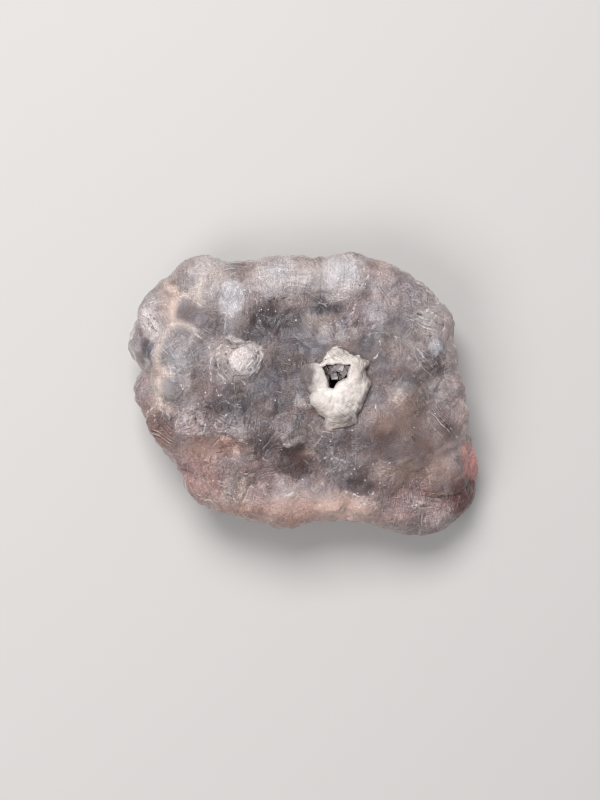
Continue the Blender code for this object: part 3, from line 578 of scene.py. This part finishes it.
# The lumps are evened out, the most where a face is calm, and the sides get their broken cubes.
over = points - averaged(fluorite, points, LUMP_PASSES)
keep(fluorite, "crest", (over * normals).sum(axis=1))
calm = zone(measured(points), 1.0, ZONES["calm"])
even = FLATTENING + (CALM_FLATTENING - FLATTENING) * calm
points[:, 2] -= even * np.clip(up * 2.5 - 0.6, 0, 1) * over[:, 2]
rim = np.clip(1.3 - np.abs(up - 0.15) * 2.5, 0, 1)  # the plate's sides
outward = averaged(fluorite, normals, 60)
outward /= np.linalg.norm(outward, axis=1)[:, None]
bump = (over * outward).sum(axis=1)
bump -= (bump * rim).sum() / rim.sum()
points -= outward * (SIDE_FLATTENING * rim * bump)[:, None]
points -= outward * (CHIP_DEPTH * rim * (from_chip(points, CHIP) - 0.3))[:, None]
points[:, 2] = np.maximum(points[:, 2], 0)  # flat where it rests
write_places(fluorite, points)

# What the lists say of each point, with edges that wander a little.
# The plate's sides, painted paler below: partly their milky skin, partly painted light through the thin
# edges.
keep(fluorite, "side", np.clip(1 - np.abs(up - 0.1) * 1.6, 0, 1))
places = measured(warped(points, 2.2, 1.0))
for name, blobs in ZONES.items():
    keep(fluorite, name, zone(places, front, blobs))
drawn = measured(warped(points, 1.6, 0.3))
milky = np.zeros(len(points))
for soft, milk, corners in FACES:
    share = inside(drawn, corners, soft)
    milky = milky * (1 - share) + (milky * 0.4 + milk) * share
keep(fluorite, "milky", milky * front)
lobe = inside(drawn, FACES[-1][2], 0.8)  # the dark face below the rosy one
keep(fluorite, "rose", np.maximum(inside(drawn, ROSE_FACE, 0.6), 0.3 * lobe) * front)
for name, drawings in (("pale", PALE_LINES), ("dark", DARK_LINES), ("veil", VEILS)):
    away = np.min([line_distance(drawn, corners) for corners in drawings], axis=0)
    keep(fluorite, name, np.where(front > 0.5, away, FAR))
keep_stripes(fluorite, measured(warped(points, 3.0, 0.8)), front, STRIPES)

# How a Mix node lays one colour over another, and how it tints or shades it.
OVER = {"data_type": "RGBA"}
TIMES = {"data_type": "RGBA", "blend_type": "MULTIPLY"}


def add_node(tree, kind, feeds=(), operation=None, **settings):
    """Adds a node with its settings and what feeds it."""
    node = tree.nodes.new("ShaderNode" + kind)
    if operation:
        node.operation = operation
    for name, value in settings.items():
        setattr(node, name, value)
    feed(node, feeds)
    return node


def new_finish(name):
    """A material, what adds a node to it, its shader and the place on the piece in mm."""
    finish = bpy.data.materials.new(name)
    finish.use_nodes = True
    add = partial(add_node, finish.node_tree)
    spot = add("TexCoord").outputs["Object"]
    spot = add("VectorMath", [spot, 1 / MM], "SCALE")
    return finish, add, finish.node_tree.nodes["Principled BSDF"], spot


# Frosted fluorite: natural growth, etched by time. The low index of 1.434 gives weak highlights,
# and the milky skin lets part of the light into the clear, grey-blue and mauve inside.
frosted, add, surface, spot = new_finish("frosted_fluorite")
field = {  # what is stored at every point
    name: add("Attribute", attribute_name=name).outputs["Fac"]
    for name in ("crest", "side", "tone", "milky", "rose", "pale", "dark", "veil", "across",
                 "striped", *ZONES)
}

# Clouds 9 mm wide turn the crystal from grey to mauve-grey, and others 4 mm wide from cool to warm.
clouds = add("TexNoise", {"Vector": spot, "Scale": 1 / 9, "Detail": 3})
clouds = add("MapRange", [clouds, 0.4, 0.6])
lilac = add("Math", [clouds, field["mauve"]], "MAXIMUM")
warmth = add("TexNoise", {"Vector": spot, "Scale": 0.24, "Detail": 2})
warmth = add("MapRange", [warmth, 0.35, 0.65])
warmth = add("Mix", [warmth, (0.95, 1, 1.05, 1), (1.11, 1, 0.91, 1)], **OVER)

# Veils 2.5 mm wide, milkier on the crests and darker in the troughs, partly as painted shade,
# and specks 0.8 mm wide in the rosy face.
veils = add("TexNoise", {"Vector": spot, "Scale": 1 / 2.5, "Detail": 4, "Roughness": 0.6})
veils = add("MapRange", [veils, 0.3, 0.7, -0.08, 0.08])
# Paler on the crests and darker in the troughs: partly painted shade in the troughs.
crest = add("MapRange", [field["crest"], -2, 2, -0.12, 0.12])
milk = add("Math", [crest, veils], "ADD")
milk = add("Math", [field["tone"], 0.08, milk], "MULTIPLY_ADD")
milk = add("Math", [milk, field["milky"]], "ADD")
# The plate's sides painted paler: partly their milky skin, partly painted light passing through the thin
# edges.
haze = add("Math", [field["side"], 0.45, milk], "MULTIPLY_ADD")
haze = add("Math", [field["haze"], haze], "ADD")
haze = add("MapRange", [haze, 0.05, 1.15])
# Dark where the crystal is clear and deep, and painted shade in the troughs below the lumps.
deep_and_shaded = add("Math", [milk, -0.6, field["depth"]], "MULTIPLY_ADD")
deep_and_shaded = add("MapRange", [deep_and_shaded, 0, 1, 0, 0.85])
cream = add("Math", [field["cream"], 0.4], "MULTIPLY")
veil = add("MapRange", [field["veil"], 0.2, 1.2, 0.6, 0])
specks = add("TexNoise", {"Vector": spot, "Scale": 1.2, "Detail": 3, "Roughness": 0.7})
specks = add("MapRange", [specks, 0.35, 0.65, 0.75])
rose = add("Math", [field["rose"], specks], "MULTIPLY")

colour = linear("#857B7C")
for share, paint, way in (
    (lilac, linear("#8A7C7D"), OVER),
    (field["mauve"], linear("#917E81"), OVER),
    (1.0, warmth, TIMES),
    (haze, linear("#E2D6D3"), OVER),
    (deep_and_shaded, linear("#3A3134"), OVER),
    (cream, linear("#CDB9AC"), OVER),
    (veil, linear("#E6D4CA"), OVER),
    (field["blush"], (1.1, 0.84, 0.74, 1), TIMES),
    (field["blue"], (0.89, 0.985, 1.08, 1), TIMES),
    (rose, (1.5, 0.78, 0.72, 1), TIMES),
):
    colour = add("Mix", [share, colour, paint], **way)

# Crystals 5 mm wide, each turned its own way, grown together with seams between them that are
# pale or dark by turns, every 1.7 mm or so.
bend = add("TexNoise", {"Vector": spot, "Scale": 1 / 2.5, "Detail": 1}).outputs["Color"]
bent = add("VectorMath", [bend, (0.8, 0.8, 0.8), spot], "MULTIPLY_ADD")
crystals = add("TexVoronoi", {"Vector": bent, "Scale": 1 / 5})
seams = add("TexVoronoi", {"Vector": bent, "Scale": 1 / 5}, feature="DISTANCE_TO_EDGE")
turn = add("VectorMath", [crystals.outputs["Color"], 6.28], "SCALE")  # up to a full turn
place = add("VectorRotate", {"Vector": bent, "Rotation": turn}, rotation_type="EULER_XYZ")
rough = add("Math", [field["calm"], -0.75, 1], "MULTIPLY_ADD")
plain = add("Math", [field["blocky"], 0.75, 0.25], "MULTIPLY_ADD")
plain = add("Math", [plain, rough], "MULTIPLY")
wear = add("TexNoise", {"Vector": spot, "Scale": 0.6, "Detail": 3})
wear = add("Math", [wear, -0.5], "ADD")
seam = add("MapRange", [seams, 0.01, 0.045, 1, 0])
seam = add("Math", [seam, plain], "MULTIPLY")
light = add("Math", [wear, 5, -0.2], "MULTIPLY_ADD", use_clamp=True)
light = add("Math", [light, 0.5], "MINIMUM")
light = add("Math", [light, seam], "MULTIPLY")
shadow = add("Math", [wear, -5], "MULTIPLY", use_clamp=True)
shadow = add("Math", [shadow, seam], "MULTIPLY")
own = add("SeparateColor", [crystals.outputs["Color"]]).outputs["Green"]
own = add("Math", [own, -0.5], "ADD")
own = add("Math", [own, plain], "MULTIPLY")
own = add("Math", [own, 0.4, 1], "MULTIPLY_ADD")
own = add("Math", [shadow, -0.4, own], "MULTIPLY_ADD")
colour = add("Mix", [1, colour, own], **TIMES)
rise = add("MapRange", [seams, 0, 0.12, -0.2, 0])
rise = add("Math", [rise, plain], "MULTIPLY")

# In each crystal, cubes 2.6 mm wide, blocks of 1.4 by 0.7 mm and splinters of 0.8 by 0.3 mm,
# each with faces of its own tones.
faceted = add("Math", [plain, 0.7, 0.6], "MULTIPLY_ADD")
faceted = add("Math", [faceted, rough], "MULTIPLY")
for to_a_mm, slope, contrast in (
    ((0.38, 0.38, 0.38), 0.24, 0.2), ((0.7, 0.7, 1.5), 0.14, 0.28), ((1.3, 3, 3), 0.1, 0.48),
):
    cell = add("VectorMath", [place, to_a_mm], "MULTIPLY")
    cubes = add("TexVoronoi", {"Vector": cell, "Scale": 1}, distance="CHEBYCHEV")
    far = cubes.outputs["Distance"]
    side = add("VectorMath", [cell, cubes.outputs["Position"]], "SUBTRACT")
    side = add("VectorMath", [side], "ABSOLUTE")
    side = add("VectorMath", [side, far], "SUBTRACT")  # 0 on the face's own axis
    side = add("VectorMath", [side, (200, 200, 200), (1, 1, 1)], "MULTIPLY_ADD")
    side = add("VectorMath", [side, (0, 0, 0)], "MAXIMUM")
    shade = add("VectorMath", [side, cubes.outputs["Color"]], "DOT_PRODUCT")
    shade = add("Math", [shade.outputs["Value"], -0.5], "ADD")
    shade = add("Math", [shade, faceted], "MULTIPLY")
    shade = add("Math", [shade, contrast, 1], "MULTIPLY_ADD")
    colour = add("Mix", [1, colour, shade], **TIMES)
    rise = add("Math", [far, -slope / to_a_mm[0], rise], "MULTIPLY_ADD")

# Stripes of growth, about 3 to a millimetre: faint ones along the lattice of every crystal, and
# plain ones where the list has them.
axes = add("SeparateXYZ", [place])
patches = add("TexNoise", {"Vector": place, "Scale": 1 / 2, "Detail": 2})
for across, amount, to_a_mm, least, height, contrast, thread in (
    (axes.outputs["X"], rough, 3.4, 0, 0.2, 0.7, 0.45),
    (axes.outputs["Y"], rough, 3.4, 0, 0.2, 0.7, 0.45),
    (field["across"], field["striped"], 2.6, 0.45, 0.6, 2, 0.75),
):
    lines = add("TexNoise", {"W": across, "Scale": to_a_mm, "Detail": 3}, noise_dimensions="1D")
    patch = add("MapRange", [patches, 0.42, 0.6, least])
    stripe = add("Math", [lines, -0.5], "ADD")
    stripe = add("Math", [stripe, patch], "MULTIPLY")
    stripe = add("Math", [stripe, amount], "MULTIPLY")
    rise = add("Math", [stripe, height, rise], "MULTIPLY_ADD")
    shade = add("Math", [stripe, contrast, 1], "MULTIPLY_ADD")
    colour = add("Mix", [1, colour, shade], **TIMES)
    frost = add("MapRange", [stripe, 0.12, 0.18, 0, thread])
    light = add("Math", [light, frost], "MAXIMUM")

# The pale edges of the larger crystals and the dark cracks, broken every 0.9 mm or so, and
# painted glints, small highlights 1.4 mm apart, of which one in five shows.
gaps = add("TexNoise", {"Vector": spot, "Scale": 1.1, "Detail": 3})
gaps = add("Math", [gaps, 1.5, -0.68], "MULTIPLY_ADD")
pale = add("Math", [field["pale"], gaps], "ADD")
pale = add("MapRange", [pale, 0.04, 0.22, 0.95, 0])
light = add("Math", [light, pale], "MAXIMUM")
light = add("Math", [light, 0.6], "MULTIPLY")
# Painted glints: small highlights painted into the colour.
painted_glints = add("TexVoronoi", {"Vector": spot, "Scale": 0.7})
painted_glint = add("MapRange", [painted_glints.outputs["Distance"], 0.06, 0.14, 0.9, 0])
few = add("SeparateColor", [painted_glints.outputs["Color"]]).outputs["Red"]
few = add("Math", [few, 0.8], "GREATER_THAN")
painted_glint = add("Math", [painted_glint, few], "MULTIPLY")
light = add("Math", [light, painted_glint], "MAXIMUM")
# The pale edges, threads and seams, with the painted glints, laid over the colour.
colour = add("Mix", [light, colour, linear("#F4EDEA")], **OVER)
dark = add("Math", [field["dark"], gaps], "ADD")
dark = add("MapRange", [dark, 0.04, 0.28, 0.4, 1])
colour = add("Mix", [1, colour, dark], **TIMES)
rise = add("Math", [rise, rough], "MULTIPLY")

# Grain 0.2 mm wide, drawn coarser than the real etching, which is too fine to show.
grain = add("TexNoise", {"Vector": spot, "Scale": 4.6, "Detail": 2, "Roughness": 0.8})
tone = add("MapRange", [grain, 0.25, 0.75, 0.74, 1.26])
colour = add("Mix", [1, colour, tone], **TIMES)
rise = add("Math", [grain, 0.05, rise], "MULTIPLY_ADD")
relief = add("Bump", {"Height": rise, "Strength": 0.8, "Distance": MM})
frost = add("MapRange", [grain, 0.3, 0.7, 0.2, 0.45])
frost = add("Math", [field["haze"], 0.25, frost], "MULTIPLY_ADD")
feed(surface, {
    "Base Color": colour, "Normal": relief, "Roughness": frost, "IOR": 1.434,
    "Transmission Weight": 0.2, "Subsurface Weight": 0.2, "Subsurface Radius": (1, 0.95, 1),
    "Subsurface Scale": 1.2 * MM, "Sheen Weight": 0.25, "Sheen Roughness": 0.4,
})
absorb = add("VolumeAbsorption", {"Color": linear("#B9B4C0"), "Density": 25})
feed(frosted.node_tree.nodes["Material Output"], {"Volume": absorb})
fluorite.data.materials.append(frosted)

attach(fluorite, "root")
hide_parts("fluorite")

# The white crust: a porcelain-white mineral skin round the mouth of the hollow, swollen to a dome
# below it. It grew last, over the fluorite, and is opaque, smooth and slightly waxy.
CRUST_GRAIN = 0.17  # fine mesh spacing, mm
CRUST_SOFTENING = 10  # smoothing passes
CRUST_GROWTH = 0.3  # closes the gap to the fluorite, mm
CRUST_CHIP = 2.1  # size of the flat faces of its skin, mm
CRUST_CHIP_DEPTH = 0.5  # how far they stand out, mm
MOUTH = (6.7, 4.0)  # the middle of the hollow's mouth, mm
GREY_SKIN = [  # thin, so that the fluorite shows through, in the way of the zones above
    (0.4, 3.8, 2.2, 3.6, 1.3), (9.8, -5, 2.8, 1.6, 0.5), (8, 9, 1.4, 0.8, 0.4),
]
CREAM_SKIN = [
    (9, 8.8, 5, 2, 0.2), (12.6, 5, 2.2, 3.2, 0.5), (3, -3, 2.2, 1.6, 0.4), (7, -5.8, 3.6, 2, 0.6),
]
CRUST_STRIPES = [
    (1.2, 4, 2.6, 3.6, 76, 0.8), (12.4, 5.4, 1.9, 3, -80, 1), (8, 8.8, 3.6, 1.6, -34, 1),
    (10.4, -3.8, 3.4, 2.8, -42, 1.3), (4.4, -2.2, 2.6, 2.6, 40, 0.4),
    (11.6, -0.6, 2.4, 2.6, 62, 0.5), (6.6, -5.8, 2.2, 1.6, 20, 0.8),
]


def from_mouth(points):
    """How far points are from the middle of the mouth, in mm."""
    return np.hypot(points[:, 0] - MOUTH[0], points[:, 1] - MOUTH[1])


crust = fine_copy("white_crust", "crust", CRUST_GRAIN, CRUST_SOFTENING)
points = read(crust, "co") / MM
points += CRUST_GROWTH * read(crust, "normal")
points[:, :2] *= (CAMERA_HEIGHT - points[:, 2:]) / LIST_DISTANCE  # to where it is seen
ragged = np.clip((points[:, 1] - 5.5) / 2.5, 0, 1)  # the thin broken edge above the mouth
left = np.clip((2.6 - points[:, 0]) / 2.4, 0, 1)  # the thin lobe on its left
points[:, 2] -= 0.3 + 0.6 * left + 0.3 * ragged
away = from_mouth(points)
points[:, 2] -= 0.5 * np.clip((away - 4.6) / 4.0, 0, 1)
outward = averaged(crust, read(crust, "normal"), 12)
bare = 0.25 + 0.75 * np.clip((away - 3.4) / 1.6, 0, 1)  # smoother round the mouth
chips = from_chip(points, CRUST_CHIP)
points -= outward * (CRUST_CHIP_DEPTH * bare * (chips - 0.4))[:, None]
points = warped(points, 2.4, 0.3)
points += (0.1 + ragged * 0.45)[:, None] * (warped(points, 0.8, 1.0) - points)
write_places(crust, averaged(crust, points, 2))

drawn = measured(warped(points, 1.3, 0.5))
keep(crust, "outer", np.clip((from_mouth(points) - 4.2) / 1.2, 0, 1))
keep(crust, "grey", zone(drawn, 1.0, GREY_SKIN))
keep(crust, "cream", zone(drawn, 1.0, CREAM_SKIN))
keep_stripes(crust, measured(warped(points, 2.0, 0.6)), 1.0, CRUST_STRIPES)

# Waxy white mineral: fine-grained and opaque, with light that spreads a third of a millimetre
# into it. It has clouds 1.7 mm wide, and its steep outer side is greyer: partly the thin skin,
# partly painted shade.
waxy, add, surface, spot = new_finish("waxy_white_crust")
field = {
    name: add("Attribute", attribute_name=name).outputs["Fac"]
    for name in ("outer", "grey", "cream", "across", "striped")
}
clouds = add("TexNoise", {"Vector": spot, "Scale": 0.6, "Detail": 5, "Roughness": 0.6})
clouds = add("MapRange", [clouds, 0.35, 0.7])
normal = add("NewGeometry").outputs["True Normal"]
# Greyer where the outer side is steep: painted shade, and partly the thin skin.
thin_shaded_side = add("SeparateXYZ", [normal]).outputs["Z"]
thin_shaded_side = add("MapRange", [thin_shaded_side, 0.25, 0.8, 0.35, 0])
thin_shaded_side = add("Math", [thin_shaded_side, field["outer"]], "MULTIPLY")
colour = linear("#EFE6E0")
for share, paint in (
    (clouds, "#D8CDC6"), (field["cream"], "#A7978C"), (field["grey"], "#7C7171"), (thin_shaded_side, "#978B8A"),
):
    colour = add("Mix", [share, colour, linear(paint)], **OVER)

# Growth lines 0.3 mm apart, in patches 0.8 mm wide, and grain 0.5 mm wide.
lines = add("TexNoise", {"W": field["across"], "Scale": 3.6, "Detail": 4}, noise_dimensions="1D")
patches = add("TexNoise", {"Vector": spot, "Scale": 1.3, "Detail": 2})
patches = add("MapRange", [patches, 0.4, 0.6, 0.2])
stripe = add("Math", [lines, -0.5], "ADD")
stripe = add("Math", [stripe, field["striped"]], "MULTIPLY")
stripe = add("Math", [stripe, patches], "MULTIPLY")
shade = add("MapRange", [stripe, -0.22, 0.12, 0.45, 1.12])
grain = add("TexNoise", {"Vector": spot, "Scale": 1 / 0.5, "Detail": 4, "Roughness": 0.65})
tone = add("MapRange", [grain, 0.3, 0.7, 0.92, 1.1])
for tint in (shade, tone):
    colour = add("Mix", [1, colour, tint], **TIMES)
rise = add("Math", [grain, 0.22], "MULTIPLY")
rise = add("Math", [stripe, 0.4, rise], "MULTIPLY_ADD")
relief = add("Bump", {"Height": rise, "Strength": 0.8, "Distance": MM})
gloss = add("MapRange", [grain, 0.3, 0.7, 0.22, 0.42])
feed(surface, {
    "Base Color": colour, "Normal": relief, "Roughness": gloss, "Coat Weight": 0.25,
    "Coat Roughness": 0.12, "Subsurface Weight": 0.3, "Subsurface Radius": (1, 0.9, 0.8),
    "Subsurface Scale": 0.3 * MM,
})
crust.data.materials.append(waxy)

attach(crust, "root")
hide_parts("white_crust")

# The crystals in the hollow: small smoky fluorite cubes that grew inwards from its wall, with
# glassy faces. They are painted grey under the mouth and black in the depth: painted shade where
# no light comes out.
RIM_CRYSTALS = 20
RIM_EDGE = (0.9, 1.5)  # of a crystal, mm
RIM_X, RIM_Y = (4.2, 9.6), (3.4, 6.5)  # where they grow, mm
RIM_HEIGHT, RIM_SLOPE = 18.94, 0.36  # the wall under the mouth: its height at y = 0, and its slope
RIM_SINK = (0.1, 0.7)  # how deep they sit in it, mm
WORN_EDGE = 0.07  # mm
SLIVER = 0.003  # edges shorter than this are closed, mm

chance = random.Random(8)
lining = copy_of("hollow_crystals", "hollow_lining")
cubes = []
for _ in range(RIM_CRYSTALS):
    x, y = chance.uniform(*RIM_X), chance.uniform(*RIM_Y)
    bpy.ops.mesh.primitive_cube_add(size=chance.uniform(*RIM_EDGE) * MM)
    cube = bpy.context.object
    height = RIM_HEIGHT + RIM_SLOPE * y - chance.uniform(*RIM_SINK)
    cube.location = Vector((x, y, height)) * MM
    cube.rotation_euler = random_turn(chance).to_euler()
    cubes.append(cube)
    union = lining.modifiers.new("Grown", "BOOLEAN")
    union.operation = "UNION"
    union.solver = "EXACT"
    union.object = cube
bevel = lining.modifiers.new("Bevel", "BEVEL")
bevel.width = WORN_EDGE * MM
bevel.segments = 1
bevel.limit_method = "ANGLE"
bevel.angle_limit = math.radians(35)
settle(lining)
for cube in cubes:
    bpy.data.objects.remove(cube)
mesh = lining.data
shape = bmesh.new()
shape.from_mesh(mesh)
bmesh.ops.dissolve_degenerate(shape, dist=SLIVER * MM, edges=shape.edges)
bmesh.ops.triangulate(shape, faces=shape.faces)
shape.to_mesh(mesh)
shape.free()
# Painted highlight and shade for every facet, the same for faces that face alike.
tones = {}
facet_highlight_and_shade = mesh.attributes.new("facet_highlight_and_shade", "FLOAT", "FACE")
for face in mesh.polygons:
    way = tuple(round(c, 1) for c in face.normal)
    facet_highlight_and_shade.data[face.index].value = tones.setdefault(way, chance.random())

# Smoky fluorite, as it grew: smooth and glassy. Faces that face alike share a tone, painted lighter
# and darker as highlight and shade. Clouds 0.9 mm wide soften the edge of the painted shade, and
# pale flecks are 0.3 mm wide.
smoky, add, surface, spot = new_finish("smoky_fluorite")
clouds = add("TexNoise", {"Vector": spot, "Scale": 1.1, "Detail": 4})
place = add("SeparateXYZ", [spot])
shallow = add("Math", [clouds, 2, place.outputs["Z"]], "MULTIPLY_ADD")
shallow = add("MapRange", [shallow, 18.6, 20.4])
upper = add("Math", [clouds, 2, place.outputs["Y"]], "MULTIPLY_ADD")
upper = add("MapRange", [upper, 3.7, 4.5])
lit = add("Math", [shallow, upper], "MULTIPLY")
tone = add("Attribute", attribute_name="facet_highlight_and_shade").outputs["Fac"]
tone = add("MapRange", [tone, 0.42, 0.92])
tone = add("Mix", [tone, linear("#2A2426"), linear("#B4ACAC")], **OVER)
# Painted shade: black in the depth of the hollow, the facets' tones only under the mouth.
colour = add("Mix", [lit, linear("#0B090A"), tone], **OVER)
flecks = add("TexNoise", {"Vector": spot, "Scale": 3, "Detail": 2})
flecks = add("MapRange", [flecks, 0.55, 0.75, 0, 0.3])
flecks = add("Math", [flecks, lit], "MULTIPLY")
colour = add("Mix", [flecks, colour, linear("#D8D0D2")], **OVER)
rise = add("Math", [clouds, 0.06], "MULTIPLY")
relief = add("Bump", {"Height": rise, "Strength": 0.5, "Distance": MM})
gloss = add("MapRange", [clouds, 0.3, 0.7, 0.16, 0.34])
feed(surface, {"Base Color": colour, "Normal": relief, "Roughness": gloss, "IOR": 1.434})
lining.data.materials.append(smoky)

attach(lining, "root")
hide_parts("hollow_crystals")
